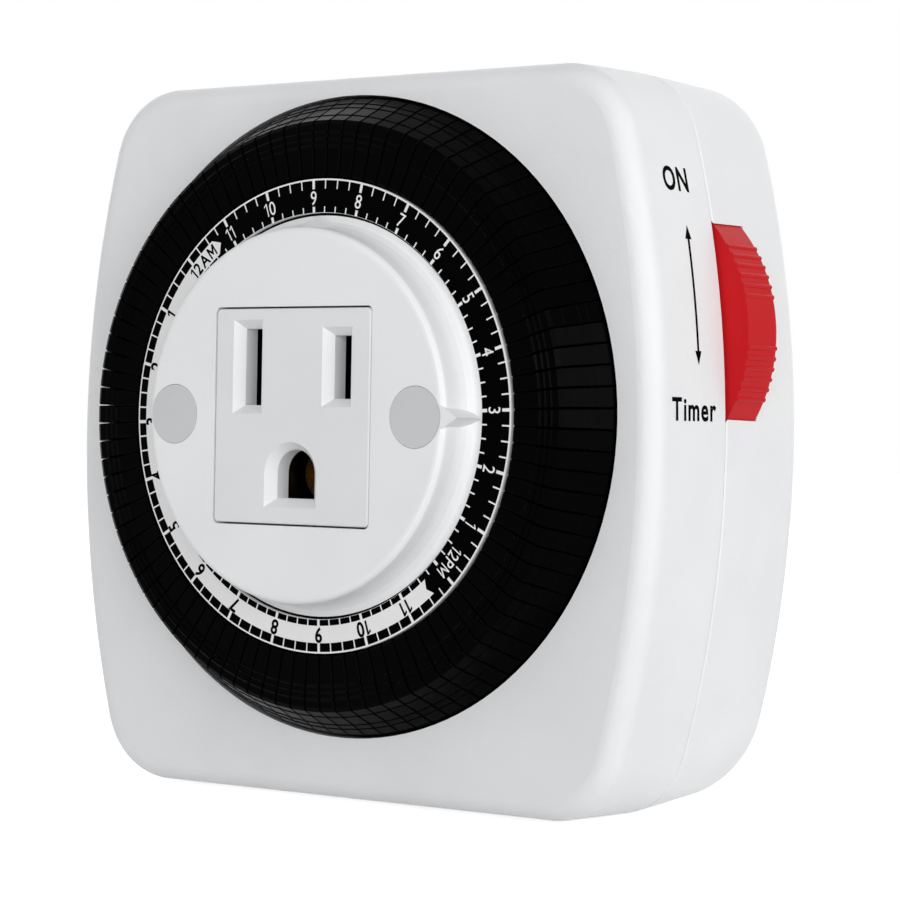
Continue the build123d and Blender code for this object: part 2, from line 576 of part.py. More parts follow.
def chassis_plate():
    plate = slab(Pos(0, CASE_Z) * case_outline(HALF_SEAM, CORNER_FRONT, WALL + 1.8), CHASSIS_Y0, CHASSIS_Y1)
    plate -= block(-11.5, 11.5, -20, -16, DIAL_Z - 13, DIAL_Z + 13)
    for x, z in corner_posts():
        plate -= rod(POST_R + 0.4, -20, -16, x, z)
    for side in (-1, 1):
        plate -= rod(3.1, -20, -16, side * CAP_X, DIAL_Z)
    for x, z in (*CHASSIS_POSTS, *motor_ears()):
        plate -= rod(SMALL_SCREW_R, -20, -16, x, z)
    px, pz = pinion_place()
    plate -= rod(SPINDLE_R, -20, -16, px, pz)
    mx, mz = motor_place()
    plate -= rod(4.2, -20, -16, mx, mz)
    plate -= rod(ROCKER_PIN_R, -20, -16, ROCKER_X, ROCKER_Z)
    plate -= block(28.25, 33.6, -20, -16, DIAL_Z - 2.6, DIAL_Z + 2.6)
    plate += rod(2.6, CHASSIS_Y1 - 0.5, CHASSIS_Y1 + 2.6, PUSHER_X, DIAL_Z)
    plate -= rod(PUSHER_R + 0.06, -20, -12, PUSHER_X, DIAL_Z)
    for z in (DIAL_Z - 4.4, DIAL_Z + 2.8):
        ear = block(LEVER_X - LEVER_HUB_R, LEVER_X + LEVER_HUB_R, LEVER_Y, CHASSIS_Y0 + 0.5, z, z + 1.6)
        ear += upright(LEVER_HUB_R, z, z + 1.6, LEVER_X, LEVER_Y)
        plate += ear - upright(LEVER_PIN_R, z - 1, z + 3, LEVER_X, LEVER_Y)
    for angle in (100, 190, 315):
        x, z = polar((SKIRT_R + 26.7) / 2, angle, 0, DIAL_Z)
        plate += rod(0.6, CHASSIS_Y0 + 0.5, SKIRT_BACK + 0.15, x, z)
    return plate


def chassis_screws():
    return Compound(children=[screw(x, z, CHASSIS_Y0, -11.0, SMALL_SCREW_R, SMALL_HEAD_R, 1.2)
                              for x, z in CHASSIS_POSTS])


def motor_screws():
    return Compound(children=[screw(x, z, CHASSIS_Y0, MOTOR_FRONT + 2.4, SMALL_SCREW_R, SMALL_HEAD_R, 1.2)
                              for x, z in motor_ears()])


# --- override rocker and switch ------------------------------------------------------------------

def override_rocker():
    sector = rocker_space(ROCKER_R, ROCKER_Y0, ROCKER_Y1, ROCKER_HALF)
    sector -= slab(Pos(ROCKER_X, ROCKER_Z) * Circle(ROCKER_R - 4.2), -15.6, ROCKER_Y1)
    body = sector + rod(ROCKER_HUB_R, ROCKER_Y0, ROCKER_Y1, ROCKER_X, ROCKER_Z)
    angles = [ROCKER_TILT + way * (RIDGE_FIRST + k * RIDGE_STEP) for way in (-1, 1) for k in range(RIDGES)]
    for a in angles:
        x, z = polar(ROCKER_R - RIDGE_SINK, a, ROCKER_X, ROCKER_Z)
        body += rod(RIDGE_R, ROCKER_Y0, ROCKER_Y1, x, z)
    body += block(ROCKER_X - 1.2, ROCKER_X + 1.6, ROCKER_Y0, ROCKER_Y1, ROCKER_Z - 6.0, ROCKER_Z)
    body += block(ROCKER_X - 0.2, ROCKER_X + 1.6, ROCKER_Y1, BLADE_Y0 - 0.12, ROCKER_Z - 6.0, ROCKER_Z - 3.7)
    return body - rod(ROCKER_PIN_R + 0.05, -18, -8, ROCKER_X, ROCKER_Z)


def rocker_pin():
    return rod(ROCKER_PIN_R, CHASSIS_Y0, -6, ROCKER_X, ROCKER_Z)


def trip_lever():
    """Flat lever from its pivot out to a nose under the pins' tails."""
    bar = [(LEVER_X, LEVER_Y - 1.1), (28.3, -21.45), (30.4, -22.4), (32.0, -22.4), (32.0, -20.9),
           (28.2, -20.45), (LEVER_X, LEVER_Y + 1.1)]
    body = Pos(0, 0, DIAL_Z - 2.4) * extrude(Plane.XY * profile(bar), 4.8)
    body += upright(LEVER_HUB_R, DIAL_Z - 2.6, DIAL_Z + 2.6, LEVER_X, LEVER_Y)
    tip = NOSE_Y - NOSE_R
    wedge = [(-22.3, -1.4), (tip, -0.4), (tip, 0.4), (-22.3, 1.4)]
    nose = Pos(NOSE_X - 1, 0, DIAL_Z) * extrude(Plane.YZ * profile(wedge), 2)
    column = upright(NOSE_R, DIAL_Z - 2, DIAL_Z + 2, NOSE_X, NOSE_Y)
    column += block(NOSE_X - NOSE_R, NOSE_X + NOSE_R, NOSE_Y, -22.3, DIAL_Z - 2, DIAL_Z + 2)
    body += nose & column
    return body - upright(LEVER_PIN_R + 0.04, DIAL_Z - 4, DIAL_Z + 4, LEVER_X, LEVER_Y)


def lever_pin():
    return upright(LEVER_PIN_R, DIAL_Z - 4.4, DIAL_Z + 4.4, LEVER_X, LEVER_Y)


def contact_pusher():
    return rod(PUSHER_R, -19.5, BLADE_Y0 - 0.05, PUSHER_X, DIAL_Z)


def moving_blade():
    """Spring blade with its contact rivet; a rolled bead at its root."""
    strip = block(BLADE_X0, BLADE_X1, BLADE_Y0, BLADE_Y1, BEAD_Z, 0.6)
    middle, half = (BLADE_X0 + BLADE_X1) / 2, (BLADE_X1 - BLADE_X0) / 2
    bead = Pos(middle, BEAD_Y, BEAD_Z) * Rot(0, 90, 0) * Cylinder(BEAD_R, 2 * half)
    return strip + bead + rod(CONTACT_R, BLADE_Y1, BLADE_Y1 + 0.7, middle, CONTACT_Z)


def hot_bus():
    """Strip from the hot contact, round the rocker's post, to the fixed contact."""
    middle = (BLADE_X0 + BLADE_X1) / 2
    across = block(LINE_X + 0.4, BUS_X, BUS_Y0, BUS_Y1, BUS_Z0, BUS_Z1)
    down = block(BUS_X - 3.4, BUS_X, BUS_Y0, BUS_Y1, CONTACT_Z - 2.5, BUS_Z1)
    foot = block(BLADE_X0, BUS_X, BUS_Y0, BUS_Y1, CONTACT_Z - 2.5, CONTACT_Z + 2.5)
    return across + down + foot + rod(CONTACT_R, BUS_Y0 - 0.6, BUS_Y0, middle, CONTACT_Z)


def switch_base():
    return block(BLADE_X0 - 2, BLADE_X1 + 3, BLADE_Y1 + LINK_THICK, -WALL, BASE_LOW_Z, BASE_TOP_Z)


# --- write every node ----------------------------------------------------------------------------

os.makedirs("parts", exist_ok=True)

pieces = (front_shell, rear_shell, socket_boss, socket_insert, contact_carrier, screw_caps, boss_screws,
          case_screws, neutral_contact, hot_contact, ground_contact, neutral_blade, hot_blade, hot_link,
          ground_pin, prong_holder, dial_carrier, number_ring, dial_pinion, clutch_gear, clutch_spring,
          gear_spindle, motor_can, motor_cover, motor_coil, motor_rotor, motor_pinion, motor_leads,
          chassis_plate, chassis_screws, motor_screws, override_rocker, rocker_pin, trip_lever, lever_pin,
          contact_pusher, moving_blade, hot_bus, switch_base)

for piece in pieces:
    export_step(piece(), f"parts/{piece.__name__}.step")

one_pin = pin()
for index in range(PIN_GROUPS):
    export_step(pin_group(index, one_pin), f"parts/pins_{index + 1:02d}.step")
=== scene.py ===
import bpy
import json
import math
import numpy as np
from mathutils import Matrix, Vector


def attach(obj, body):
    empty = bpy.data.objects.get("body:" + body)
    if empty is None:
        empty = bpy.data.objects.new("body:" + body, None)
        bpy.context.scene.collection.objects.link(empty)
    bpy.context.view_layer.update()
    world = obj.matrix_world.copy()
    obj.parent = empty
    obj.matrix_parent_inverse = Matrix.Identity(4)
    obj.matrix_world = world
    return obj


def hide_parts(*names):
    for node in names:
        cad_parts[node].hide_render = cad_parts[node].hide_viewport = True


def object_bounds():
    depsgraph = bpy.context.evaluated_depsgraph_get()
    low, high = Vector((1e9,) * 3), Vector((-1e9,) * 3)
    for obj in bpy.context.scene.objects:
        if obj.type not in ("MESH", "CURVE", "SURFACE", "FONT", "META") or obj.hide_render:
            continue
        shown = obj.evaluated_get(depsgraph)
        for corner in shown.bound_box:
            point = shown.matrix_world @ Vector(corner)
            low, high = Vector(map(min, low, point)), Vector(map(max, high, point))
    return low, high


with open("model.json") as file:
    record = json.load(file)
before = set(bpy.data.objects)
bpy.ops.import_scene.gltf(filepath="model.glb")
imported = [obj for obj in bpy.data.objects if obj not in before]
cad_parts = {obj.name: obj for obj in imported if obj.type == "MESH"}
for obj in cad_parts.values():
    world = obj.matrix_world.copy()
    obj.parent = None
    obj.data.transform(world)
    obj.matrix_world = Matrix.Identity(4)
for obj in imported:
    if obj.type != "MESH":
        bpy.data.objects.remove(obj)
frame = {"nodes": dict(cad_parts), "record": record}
cad_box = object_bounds()
MM = 0.001

# Sizes shared with the solids: lengths in millimetres, PIN_STEP and DIAL_TURN in degrees
Y_FRONT, Y_SEAM, SEAM_GAP = -31.4, -17.4, 0.2
HALF_FRONT, HALF_SEAM, SIDE_BOW_R = 41.35, 41.65, 131.0
DIAL_Z, CASE_Z = -5.4, -7.8
PLATE_Y = Y_FRONT - 5.6
PINS, GROUPS, PIN_GAP = 96, 12, 0.14
PIN_STEP, DIAL_TURN = 360 / PINS, 2.1


# --- camera --------------------------------------------------------------------------------------

AZIMUTH, ELEVATION, ROLL = math.radians(36.014), math.radians(0.328), math.radians(1.042)
CAMERA_AT = (207.87, -297.34, -7.03)     # millimetres
LENS_MM, SENSOR_MM = 118.75, 36
NEAREST, FARTHEST = 0.01, 20             # metres


def add_camera():
    """Camera that looks along azimuth and elevation and is rolled about that line."""
    flat = math.cos(ELEVATION)
    forward = Vector((-math.sin(AZIMUTH) * flat, math.cos(AZIMUTH) * flat, -math.sin(ELEVATION)))
    level = Vector((math.cos(AZIMUTH), math.sin(AZIMUTH), 0))
    up = level.cross(forward)
    right = level * math.cos(ROLL) + up * math.sin(ROLL)
    up = right.cross(forward)
    data = bpy.data.cameras.new("camera")
    data.lens, data.sensor_width = LENS_MM, SENSOR_MM
    data.clip_start, data.clip_end = NEAREST, FARTHEST
    camera = bpy.data.objects.new("camera", data)
    turn = Matrix((right, up, -forward)).transposed().to_4x4()
    camera.matrix_world = Matrix.Translation(Vector(CAMERA_AT) * MM) @ turn
    bpy.context.scene.collection.objects.link(camera)
    bpy.context.scene.camera = camera


# --- materials -----------------------------------------------------------------------------------

PLASTIC_IOR = 1.5
MOTTLE_MM, STAIN_MM = 14, 5              # width of the soft patches on plastic and on metal
PLASTIC_SWING, METAL_SWING = 0.04, 0.07  # how far roughness moves to either side of its value
ROLLING_STRETCH, ROLLING_DEPTH_MM = 0.04, 0.004
GROOVE_ROUGH, CREST_ROUGH, WIRE_METAL, WIRE_DEPTH_MM = 0.42, 0.30, 0.7, 0.03
# Where a speck's colour starts and stops fading, as shares of the specks' spacing from its middle
SPECK_CORE, SPECK_EDGE = 0.04, 0.09


def linear(hex_colour):
    """sRGB hex to the linear colour that nodes take."""
    parts = [int(hex_colour[k:k + 2], 16) / 255 for k in (1, 3, 5)]
    curve = [c / 12.92 if c <= 0.04045 else ((c + 0.055) / 1.055) ** 2.4 for c in parts]
    return (*curve, 1.0)


def per_mm(size):
    """Texture scale on Object coordinates for a pattern of this size in millimetres."""
    return 1 / (size * MM)


def node(tree, kind, settings=None, **links):
    """Add a node, set its properties and inputs, and link the inputs that are given as sockets.

    An input goes by its label with _ for a space, or by i and its number.
    """
    made = tree.nodes.new(kind)
    for key, value in (settings or {}).items():
        setattr(made, key, value)
    for key, value in links.items():
        socket = made.inputs[int(key[1:]) if key[1:].isdigit() else key.replace("_", " ")]
        if isinstance(value, bpy.types.NodeSocket):
            tree.links.new(value, socket)
        else:
            socket.default_value = value
    return made


def ramp(tree, fac, stops):
    """Colour ramp through (position, hex colour) stops."""
    made = node(tree, "ShaderNodeValToRGB", Fac=fac)
    points = made.color_ramp.elements
    while len(points) < len(stops):
        points.new(0.5)
    for point, (place, colour) in zip(points, stops):
        point.position, point.color = place, linear(colour)
    return made.outputs["Color"]


def spread(tree, fac, low, high, start=0.3, end=0.7):
    """Number that goes from low to high as fac goes from start to end."""
    made = node(tree, "ShaderNodeMapRange", Value=fac, From_Min=start, From_Max=end,
                To_Min=low, To_Max=high)
    return made.outputs["Result"]


def surface(name):
    """New material with its tree, its shader and its Object coordinates."""
    made = bpy.data.materials.new(name)
    made.use_nodes = True
    tree = made.node_tree
    place = node(tree, "ShaderNodeTexCoord").outputs["Object"]
    return made, tree, tree.nodes["Principled BSDF"], place


def finish_shader(tree, shader, base, rough, height, depth_mm):
    """Link colour, roughness and a bump whose depth is in millimetres."""
    bump = node(tree, "ShaderNodeBump", Height=height, Distance=depth_mm * MM)
    tree.links.new(base, shader.inputs["Base Color"])
    tree.links.new(rough, shader.inputs["Roughness"])
    tree.links.new(bump.outputs["Normal"], shader.inputs["Normal"])


def moulded(name, colour, shade, roughness, grain_mm, depth_mm, gloss=0.5, speck=None):
    """Moulded plastic: soft mottling, a moulding grain as bump, and roughness that follows the grain.

    speck is the colour and the spacing in millimetres of the fillers that show, if any do.
    """
    made, tree, shader, place = surface(name)
    grain = node(tree, "ShaderNodeTexNoise", Vector=place, Scale=per_mm(grain_mm), Detail=3.0,
                 Roughness=0.6)
    cloud = node(tree, "ShaderNodeTexNoise", Vector=place, Scale=per_mm(MOTTLE_MM), Detail=2.0)
    base = ramp(tree, cloud.outputs["Fac"], [(0.35, shade), (0.65, colour)])
    if speck:
        speck_colour, spacing_mm = speck
        dots = node(tree, "ShaderNodeTexVoronoi", Vector=place, Scale=per_mm(spacing_mm))
        near = spread(tree, dots.outputs["Distance"], 1.0, 0.0, SPECK_CORE, SPECK_EDGE)
        base = node(tree, "ShaderNodeMix", {"data_type": "RGBA"}, i0=near, i6=base,
                    i7=linear(speck_colour)).outputs[2]
    rough = spread(tree, grain.outputs["Fac"], roughness - PLASTIC_SWING, roughness + PLASTIC_SWING)
    shader.inputs["IOR"].default_value = PLASTIC_IOR
    shader.inputs["Specular IOR Level"].default_value = gloss
    finish_shader(tree, shader, base, rough, grain.outputs["Fac"], depth_mm)
    return made


def rolled(name, colour, shade, roughness, along, brush_mm=0.12):
    """Sheet metal with rolling marks, a noise drawn out along one axis (0 is x, 1 is y, 2 is z)."""
    made, tree, shader, place = surface(name)
    stretch = [1.0, 1.0, 1.0]
    stretch[along] = ROLLING_STRETCH
    lie = node(tree, "ShaderNodeMapping", Vector=place, Scale=stretch)
    marks = node(tree, "ShaderNodeTexNoise", Vector=lie.outputs["Vector"], Scale=per_mm(brush_mm),
                 Detail=4.0)
    stain = node(tree, "ShaderNodeTexNoise", Vector=place, Scale=per_mm(STAIN_MM), Detail=2.0)
    base = ramp(tree, stain.outputs["Fac"], [(0.3, shade), (0.7, colour)])
    rough = spread(tree, marks.outputs["Fac"], roughness - METAL_SWING, roughness + METAL_SWING)
    shader.inputs["Metallic"].default_value = 1.0
    finish_shader(tree, shader, base, rough, marks.outputs["Fac"], ROLLING_DEPTH_MM)
    return made


def wound(name, colour, shade, turn_mm):
    """Winding: turns of wire side by side along the motor's axis, with painted shade in the grooves
    between turns.
    """
    made, tree, shader, place = surface(name)
    # a wave band repeats every pi / 10 of its coordinate
    turns = node(tree, "ShaderNodeTexWave", {"bands_direction": "Y"}, Vector=place,
                 Scale=per_mm(turn_mm) * math.pi / 10, Distortion=0.6, Detail_Scale=4.0)
    # the colour goes dark where the wave is low, in the grooves between turns: painted shade
    base = ramp(tree, turns.outputs["Fac"], [(0.1, shade), (0.7, colour)])
    rough = spread(tree, turns.outputs["Fac"], GROOVE_ROUGH, CREST_ROUGH)
    shader.inputs["Metallic"].default_value = WIRE_METAL
    finish_shader(tree, shader, base, rough, turns.outputs["Fac"], WIRE_DEPTH_MM)
    return made


def make_finishes():
    """Every finish of the object, by its record slot, and the two inks."""
    return {
        # ABS moulded in a spark-eroded tool: even fine grain that spreads highlights
        "white_case": moulded("white_abs_spark_grain", "#F3F4F5", "#EFF0F2", 0.46, 0.45, 0.028),
        # the same ABS with a finer grain, its colour made whiter than the case's as painted light,
        # standing in for the stronger light on the boss
        "white_boss": moulded("white_abs_fine_grain_painted_lighter", "#FAFBFC", "#F6F7F9", 0.42, 0.35, 0.018),
        # smooth moulded urea face of the outlet
        "white_insert": moulded("white_urea_smooth", "#F1F2F3", "#EEEFF1", 0.34, 0.50, 0.003),
        # grey ABS caps
        "grey_cap": moulded("grey_abs_cap", "#D6D7D8", "#D1D2D4", 0.42, 0.30, 0.004),
        # polished black acetal: deep black with thin sharp highlights on the edges
        "black_pin": moulded("black_acetal_polished", "#010101", "#020202", 0.15, 1.40, 0.002,
                             gloss=0.015),
        # dull black moulding of the dial carrier and of the block that holds the contacts; the block's
        # black also stands in as painted shade inside the socket's slots
        "black_carrier": moulded("black_acetal_dull_and_slot_shade", "#020202", "#040404", 0.45, 0.40, 0.006,
                                 gloss=0.05),
        # white dial plate under its print
        "printed_ring": moulded("white_dial_plate", "#F6F6F6", "#F2F2F3", 0.38, 0.40, 0.002),
        # red ABS, strong in pigment and only a little glossy
        "red_rocker": moulded("red_abs_satin", "#CC1F25", "#C81D23", 0.36, 0.60, 0.004, gloss=0.04),
        # unpigmented acetal: warm white, a little waxy
        "natural_gear": moulded("natural_acetal", "#E9E6D9", "#E2DECE", 0.40, 0.50, 0.004),
        # glass-filled nylon: pale fibre specks in grey
        "chassis_grey": moulded("grey_glass_filled_nylon", "#6F747B", "#656A71", 0.55, 0.40, 0.010,
                                speck=("#9A9EA4", 0.9)),
        # brown phenolic with wood-flour specks
        "base_brown": moulded("brown_phenolic", "#4F3222", "#432A1C", 0.36, 0.50, 0.006,
                              speck=("#7A5638", 0.8)),
        # extruded soft PVC: dull black
        "lead_insulation": moulded("black_pvc_lead", "#161617", "#1D1D1E", 0.40, 0.50, 0.006),
        # ferrite: dull sintered black
        "rotor_magnet": moulded("sintered_ferrite", "#2B2B2D", "#222224", 0.60, 0.25, 0.020),
        # half-hard brass strip
        "contact_brass": rolled("rolled_brass_strip", "#D9B46A", "#C79F55", 0.30, 1),
        # nickel-plated brass blades, drawn lengthwise
        "plated_blade": rolled("nickel_plated_brass", "#D2CDC2", "#C2BCB0", 0.22, 1, 0.20),
        # zinc-plated steel: bluish, a little cloudy
        "screw_steel": rolled("zinc_plated_screw", "#C3C8CC", "#AEB4B9", 0.30, 2, 0.15),
        "motor_steel": rolled("zinc_plated_sheet", "#BFC4C8", "#A9AFB4", 0.34, 0, 0.25),
        # enamelled copper wire, 0.14 mm thick, drawn twice as coarse so that its turns show
        "coil_copper": wound("enamelled_copper_winding_painted_groove_shade", "#B4622F", "#5A2410", 0.28),
        # pad-printed inks: flat and dull
        "black_ink": moulded("black_pad_print", "#010101", "#020202", 0.50, 0.30, 0.001, gloss=0.01),
        "white_ink": moulded("white_pad_print", "#F5F5F5", "#F1F1F1", 0.50, 0.30, 0.001),
    }


FINISH = make_finishes()


def dress_nodes():
    """CAD nodes get the finish of their record slot."""
    for part in frame["record"]["subparts"]:
        obj = frame["nodes"][part["node"]]
        if not obj.material_slots:
            obj.data.materials.append(None)
        for place in obj.material_slots:
            place.material = FINISH[part["material_slot"]]


# --- mesh making ---------------------------------------------------------------------------------

def piece(name, points, faces, body, finish, slot):
    """Mesh object from points in millimetres; it rides on a body."""
    data = bpy.data.meshes.new(name)
    data.from_pydata((np.asarray(points, float) * MM).tolist(), [], faces)
    data.update()
    obj = bpy.data.objects.new(name, data)
    bpy.context.scene.collection.objects.link(obj)
    data.materials.append(FINISH[finish])
    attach(obj, body)
    return obj


def loft(sections):
    """Closed solid through sections x points x 3: quads between neighbours and a cap on each end."""
    count, around = sections.shape[:2]
    index = np.arange(count * around).reshape(count, around)
    after = np.roll(index, -1, axis=1)
    quads = np.stack((index[:-1], after[:-1], after[1:], index[1:]), axis=-1).reshape(-1, 4)
    faces = [tuple(quad) for quad in quads.tolist()]
    ends = [tuple(index[0, ::-1].tolist()), tuple(index[-1].tolist())]
    return sections.reshape(-1, 3), faces + ends


def joined(parts):
    """Several (points, faces) as one; each part's faces move up by the points before it."""
    starts = np.cumsum([0] + [len(points) for points, _ in parts[:-1]])
    faces = [tuple(int(start) + i for i in face)
             for start, (_, part) in zip(starts, parts) for face in part]
    return np.concatenate([points for points, _ in parts]), faces


def polar(radius, degrees):
    """x and z at angles about the dial's axis: radius times cosine, and times sine above the axis."""
    turn = np.radians(degrees)
    return radius * np.cos(turn), DIAL_Z + radius * np.sin(turn)


# --- pins ----------------------------------------------------------------------------------------

# A pin in millimetres. Its head is given as radii about the dial's axis and depths behind its top: a
# lip, the ridges and the slope down to an upright rim. The square tail has radii, half width and end.
PIN_INNER, PIN_OUTER, PIN_EASE = 26.85, 36.15, 0.09
PIN_FOOT_Y, PIN_RIM = Y_FRONT + 0.2, 0.3
PIN_LIP = [(PIN_INNER, 0.25), (26.93, 0.07), (27.1, 0)]
RIDGE_RADII, RIDGE_HALF, RIDGE_HIGH = (30.25, 31.0, 31.75), 0.2, 0.13
PIN_SLOPE = [(32.72, 0), (33.2, 0.31), (33.76, 1.41), (33.91, 1.51), (34.75, 3.15), (34.9, 3.25),
             (35.27, 3.98), (35.42, 4.08), (36.05, 5.3)]
TAIL_INNER, TAIL_OUTER, TAIL_HALF, TAIL_END_Y = 30.2, 33.2, 0.4, -24.2


def one_pin():
    """Pin along +x as (radius, y, across): a head lofted over four sections, and a square tail.

    The head's profile has three ridges on its flat top and three narrow steps on its slope. Its
    sections lie at both flanks, drawn in by the eased edge, and just inside them at full size. A
    flank stands off the pin's middle by the radius times the tangent of half a step, less half a gap.
    """
    ridge = [(radius + side * RIDGE_HALF, -high)
             for radius in RIDGE_RADII for side, high in ((-1, 0), (0, RIDGE_HIGH), (1, 0))]
    profile = [(radius, PLATE_Y + depth) for radius, depth in PIN_LIP + ridge + PIN_SLOPE]
    rim = [(PIN_OUTER, PIN_FOOT_Y - PIN_RIM), (PIN_OUTER, PIN_FOOT_Y)]
    outline = np.array([(PIN_INNER, PIN_FOOT_Y), *profile, *rim])
    inward = np.array([(PIN_INNER + PIN_OUTER) / 2, (PLATE_Y + PIN_FOOT_Y) / 2]) - outline
    inward /= np.linalg.norm(inward, axis=1, keepdims=True)
    widening = math.tan(math.radians(PIN_STEP / 2))
    sections = []
    for side, drawn in ((-1, 1), (-1, 0), (1, 0), (1, 1)):
        at = outline + inward * PIN_EASE * drawn
        across = side * (at[:, 0] * widening - PIN_GAP / 2 - PIN_EASE * (1 - drawn))
        sections.append(np.column_stack((at, across)))
    square = np.array([(TAIL_INNER, -TAIL_HALF), (TAIL_OUTER, -TAIL_HALF),
                       (TAIL_OUTER, TAIL_HALF), (TAIL_INNER, TAIL_HALF)])
    tail = [np.insert(square, 1, y, axis=1) for y in (TAIL_END_Y, PIN_FOOT_Y)]
    return joined([loft(np.array(sections)), loft(np.array(tail))])


def add_pins():
    """Twelve groups of eight pins, each pin turned to its place about the dial's axis."""
    points, faces = one_pin()
    each = PINS // GROUPS
    for group in range(GROUPS):
        turned = []
        for k in range(each):
            turn = math.radians(DIAL_TURN + ((group - 0.5) * each + k + 0.5) * PIN_STEP)
            x = points[:, 0] * math.cos(turn) - points[:, 2] * math.sin(turn)
            z = points[:, 0] * math.sin(turn) + points[:, 2] * math.cos(turn) + DIAL_Z
            turned.append((np.column_stack((x, points[:, 1], z)), faces))
        body = f"pins_{group + 1:02d}"
        pins = piece(f"quarter_hour_{body}", *joined(turned), body, "black_pin", "black_pin")
        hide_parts(body)


# --- print ---------------------------------------------------------------------------------------

# Dial print: radii of the cells, of the half band and width of the ticks, in millimetres
CELL_RINGS, BAND_RING = ((22.83, 23.5), (25.45, 26.42)), (23.49, 25.46)
HOUR_TICK, QUARTER_TICK = 0.37, 0.18
# Ends of the half band in degrees from the dial's turn, at its two rims and on its middle line
BAND_RIMS, BAND_MIDDLE = (-50.65, 126.25), (-51.95, 124.05)
HOUR_STEP, HOUR_AT_ZERO = 15, 15         # degrees from hour to hour; the hour at the dial's turn
# Numbers: radius of the foot, height of a capital, squeeze in width, and added weight
MORNING, EVENING = (23.76, 1.62, 0.88, 0.026), (23.70, 1.54, 0.87, 0.002)
MIDNIGHT, NOON = (23.78, 1.44, 0.88, 0.020), (23.75, 1.42, 0.84, 0.004)
MIDNIGHT_AT, NOON_AT = 131.9, 318.3      # degrees from the dial's turn
BLACK_FILM, WHITE_FILM = 0.02, 0.04
# Side print: text, height, squeeze, middle behind the front, and foot above the dial's axis
SIDE_WORDS = (("ON", 2.5, 0.84, 7.75, 25.07), ("Timer", 2.4, 0.89, 7.5, 0.2))
SIDE_WEIGHT, SIDE_FILM = 0.024, 0.02
ARROW_BACK, ARROW_LOW, ARROW_HIGH = 8.6, 6.2, 21.3
SHAFT_HALF, ARROW_HEAD, HEAD_HALF = 0.19, 1.5, 0.60
SHAFT_IN_HEAD = 0.8                      # share of the head's length at which the shaft ends


def film(obj, thickness):
    """Ink film: the flat mesh is its outer face and the thickness goes inwards, with closed rims."""
    wall = obj.modifiers.new("film", "SOLIDIFY")
    wall.thickness, wall.offset, wall.use_even_offset = thickness * MM, -1, False


def ring_cell(inner, outer, start, end, steps=2):
    """Flat sector between two radii and two angles; every flat face here runs counter-clockwise."""
    turns = np.linspace(start, end, steps + 1)
    x0, z0 = polar(inner, turns)
    x1, z1 = polar(outer, turns)
    points = np.column_stack((np.concatenate((x0, x1)), np.concatenate((z0, z1))))
    return points, [(k, steps + 1 + k, steps + 2 + k, k + 1) for k in range(steps)]


# Height of a capital, width of a stroke without added weight, and gap, in the font's own units
CAPITAL, STEM, LETTER_GAP = 0.694, 0.070, 0.13


def drawn_letter(letter, stem):
    """Outline of a 1 with a slanting flag, or of an M, counter-clockwise, with strokes one stem wide."""
    if letter == "1":
        flag, flag_tip, flag_root = 0.15, CAPITAL * 0.83, CAPITAL * 0.98
        return [(flag, 0), (flag + stem, 0), (flag + stem, CAPITAL), (flag + stem * 0.35, CAPITAL),
                (0, flag_tip), (0, flag_tip - stem), (flag, flag_root - stem)]
    wide, valley = 0.62, 0.1
    corner, under, over = 1.1 * stem, CAPITAL - 2.1 * stem, valley + 2.4 * stem
    return [(0, 0), (stem, 0), (stem, under), (wide / 2, valley), (wide - stem, under),
            (wide - stem, 0), (wide, 0), (wide, CAPITAL), (wide - corner, CAPITAL),
            (wide / 2, over), (corner, CAPITAL), (0, CAPITAL)]


def glyph(letter, weight):
    """One letter as flat faces, its left edge on u = 0; the 1 and the M are drawn here."""
    if letter in "1M":
        points = drawn_letter(letter, STEM + 2 * weight)
        return np.array(points), [tuple(range(len(points)))]
    curve = bpy.data.curves.new("lettering", "FONT")
    curve.body, curve.offset, curve.resolution_u = letter, weight, 4
    obj = bpy.data.objects.new("lettering", curve)
    bpy.context.scene.collection.objects.link(obj)
    depsgraph = bpy.context.evaluated_depsgraph_get()
    shape = bpy.data.meshes.new_from_object(obj.evaluated_get(depsgraph))
    flat = np.empty(len(shape.vertices) * 3)
    shape.vertices.foreach_get("co", flat)
    flat = flat.reshape(-1, 3)[:, :2]
    faces = [tuple(face.vertices) for face in shape.polygons]
    bpy.data.objects.remove(obj)
    bpy.data.curves.remove(curve)
    bpy.data.meshes.remove(shape)
    return flat - (flat[:, 0].min(), 0), faces


def lettering(text, height, squeeze, weight):
    """Text as flat faces (u, v), centred on u = 0 with its foot on v = 0; height is a capital's.

    Each letter starts a gap after the right edge of the one before it.
    """
    at, parts = 0.0, []
    for letter in text:
        flat, faces = glyph(letter, weight)
        parts.append((flat + (at, 0), faces))
        at += flat[:, 0].max() + LETTER_GAP
    flat, faces = joined(parts)
    return (flat - ((at - LETTER_GAP) / 2, 0)) * (squeeze, 1) * height / CAPITAL, faces


def number(text, degrees, foot, height, squeeze, weight):
    """Number along the ring: v adds to the foot's radius, and u is a clockwise arc at mid height."""
    flat, faces = lettering(text, height, squeeze, weight)
    x, z = polar(foot + flat[:, 1], degrees - np.degrees(flat[:, 0] / (foot + height / 2)))
    return np.column_stack((x, z)), faces


def half_band(inner, outer, rims, middle, count=90):
    """Band between two radii; its middle line has its own end angles, so its ends are arrow-shaped."""
    rows = [np.column_stack(polar(radius, DIAL_TURN + np.linspace(*ends, count)))
            for radius, ends in ((inner, rims), ((inner + outer) / 2, middle), (outer, rims))]
    faces = [(k, count + k, count + k + 1, k + 1)
             for row in (0, 1) for k in range(row * count, (row + 1) * count - 1)]
    return np.concatenate(rows), faces


def print_layer(name, parts, height, finish):
    """Ink on the dial plate, its outer face this far in front of the plate."""
    flat, faces = joined(parts)
    points = np.column_stack((flat[:, 0], np.full(len(flat), PLATE_Y - height), flat[:, 1]))
    film(piece(name, points, faces, "dial", finish, "printed_ring"), height)


